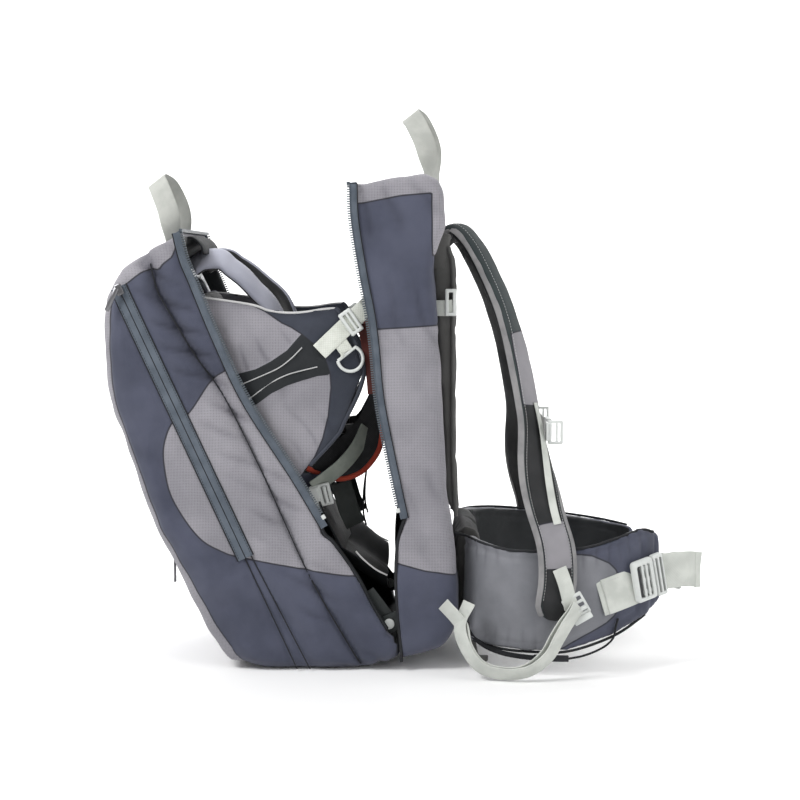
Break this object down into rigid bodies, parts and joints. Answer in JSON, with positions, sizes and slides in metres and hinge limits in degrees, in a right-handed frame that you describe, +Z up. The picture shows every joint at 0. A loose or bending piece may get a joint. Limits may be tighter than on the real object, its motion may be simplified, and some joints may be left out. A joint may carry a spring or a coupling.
{
  "type": "child carrier backpack",
  "caption": "Framed child carrier backpack unzipped into two padded sections hinged at the base, with child seat, hip belt and shoulder harness.",
  "frame": {"origin": "under the middle of the object's box, on the surface that it stands on", "axes": "+X towards the wearer, +Y towards the wearer's left, +Z up"},
  "size_m": [0.8227, 0.4894, 0.7904],
  "materials": {
    "navy_fabric": "matte woven polyester",
    "grey_ripstop": "dotted ripstop weave",
    "zip_tape": "slate zip tape",
    "pad_fabric": "dark spacer fabric",
    "strap_fabric": "dark green-grey fabric",
    "mesh_fabric": "black air mesh",
    "lavender_fabric": "soft brushed fabric",
    "pale_webbing": "ribbed pale webbing",
    "pale_plastic": "moulded pale acetal",
    "black_plastic": "moulded black acetal",
    "hinge_plastic": "dark moulded nylon",
    "alloy": "satin tube"
  },
  "bodies": {
    "front_half": {"front_hinge_plate_right": "hinge_plastic", "front_hinge_plate_left": "hinge_plastic", "hinge_rivet_right": "pale_plastic", "hinge_rivet_left": "pale_plastic", "front_shell": "navy_fabric", "front_frame_tube": "alloy", "front_mouth_zip": "zip_tape", "front_haul_loop": "pale_webbing", "back_pad": "pad_fabric", "lumbar_pad": "pad_fabric", "hip_wing_right": "grey_ripstop", "hip_wing_left": "grey_ripstop", "hip_wing_tab_right": "pale_webbing", "hip_wing_tab_left": "pale_webbing", "hip_buckle_socket": "pale_plastic", "hip_belt_webbing": "pale_webbing", "hip_adjuster_left": "pale_plastic", "shoulder_strap_right": "strap_fabric", "shoulder_strap_left": "strap_fabric", "shoulder_webbing_right": "pale_webbing", "shoulder_webbing_left": "pale_webbing", "side_strap_right": "pale_webbing", "side_strap_left": "pale_webbing", "side_lock_right": "pale_plastic", "side_lock_left": "pale_plastic", "seat_front_panel": "mesh_fabric", "seat_harness_buckle": "black_plastic", "seat_side_strap_right": "pale_webbing", "seat_side_strap_left": "pale_webbing", "seat_side_lock_right": "pale_plastic", "seat_side_lock_left": "pale_plastic"},
    "rear_half": {"rear_shell": "navy_fabric", "rear_frame_tube": "alloy", "rear_mouth_zip": "zip_tape", "rear_haul_loop": "pale_webbing", "pocket_zip_tape_right": "zip_tape", "pocket_zip_tape_left": "zip_tape", "lower_pocket_slider": "alloy", "rear_hinge_plate_right": "hinge_plastic", "rear_hinge_plate_left": "hinge_plastic", "seat_wing_right": "grey_ripstop", "seat_wing_left": "grey_ripstop", "seat_backrest": "navy_fabric", "seat_base": "navy_fabric", "seat_harness_strap_right": "lavender_fabric", "seat_harness_strap_left": "lavender_fabric", "seat_bottom_gusset": "mesh_fabric"},
    "pocket_slider": {"pocket_zip_slider": "alloy"},
    "pocket_pull": {"pocket_zip_pull": "alloy"},
    "lower_pull": {"lower_pocket_pull": "alloy"},
    "ring_right": {"seat_ring_right": "pale_plastic"},
    "ring_left": {"seat_ring_left": "pale_plastic"},
    "sternum_strap": {"sternum_slider_right": "pale_plastic", "sternum_slider_left": "pale_plastic", "sternum_socket": "pale_plastic", "sternum_webbing": "pale_webbing"},
    "sternum_release": {"sternum_plug": "pale_plastic"},
    "waist_release": {"hip_buckle_plug": "pale_plastic"},
    "lock_right": {"shoulder_lock_right": "pale_plastic"},
    "lock_left": {"shoulder_lock_left": "pale_plastic"}
  },
  "joints": [
    {"name": "section_fold", "type": "hinge", "parent": "front_half", "child": "rear_half", "pos_m": [-0.0152, 0, 0.0644], "axis": [0, 1, 0], "range_deg": [0, 21], "deforming": ["seat_wing_right", "seat_wing_left", "seat_base", "seat_harness_strap_right", "seat_harness_strap_left", "seat_bottom_gusset"]},
    {"name": "pocket_zip_travel", "type": "slide", "parent": "rear_half", "child": "pocket_slider", "axis": [0.4171, 0, -0.9089], "range_m": [0, 0.395]},
    {"name": "pocket_pull_flip", "type": "hinge", "parent": "pocket_slider", "child": "pocket_pull", "pos_m": [-0.388, -0.1789, 0.537], "axis": [-0.9063, 0, 0.4226], "range_deg": [0, 150]},
    {"name": "lower_pull_swing", "type": "hinge", "parent": "rear_half", "child": "lower_pull", "pos_m": [-0.328, -0.06, 0.149], "axis": [0, 1, 0], "range_deg": [-12, 70]},
    {"name": "ring_right_swing", "type": "hinge", "parent": "front_half", "child": "ring_right", "pos_m": [-0.079, -0.1556, 0.454], "axis": [0, 1, 0], "range_deg": [-30, 30]},
    {"name": "ring_left_swing", "type": "hinge", "parent": "front_half", "child": "ring_left", "pos_m": [-0.079, 0.1556, 0.454], "axis": [0, 1, 0], "range_deg": [-30, 30]},
    {"name": "sternum_height", "type": "slide", "parent": "front_half", "child": "sternum_strap", "axis": [0.086, 0, -0.9963], "range_m": [-0.02, 0.02]},
    {"name": "sternum_unclip", "type": "slide", "parent": "sternum_strap", "child": "sternum_release", "axis": [0, 1, 0], "range_m": [0, 0.025], "deforming": ["sternum_webbing"]},
    {"name": "waist_unclip", "type": "slide", "parent": "front_half", "child": "waist_release", "axis": [0.8384, 0.5038, 0.2079], "range_m": [0, 0.036], "deforming": ["hip_belt_webbing"]},
    {"name": "lock_right_tilt", "type": "hinge", "parent": "front_half", "child": "lock_right", "pos_m": [0.234, -0.2188, 0.11412], "axis": [0.866, 0, 0.5], "range_deg": [-25, 0]},
    {"name": "lock_left_tilt", "type": "hinge", "parent": "front_half", "child": "lock_left", "pos_m": [0.234, 0.2188, 0.11412], "axis": [0.866, 0, 0.5], "range_deg": [0, 25]}
  ]
}
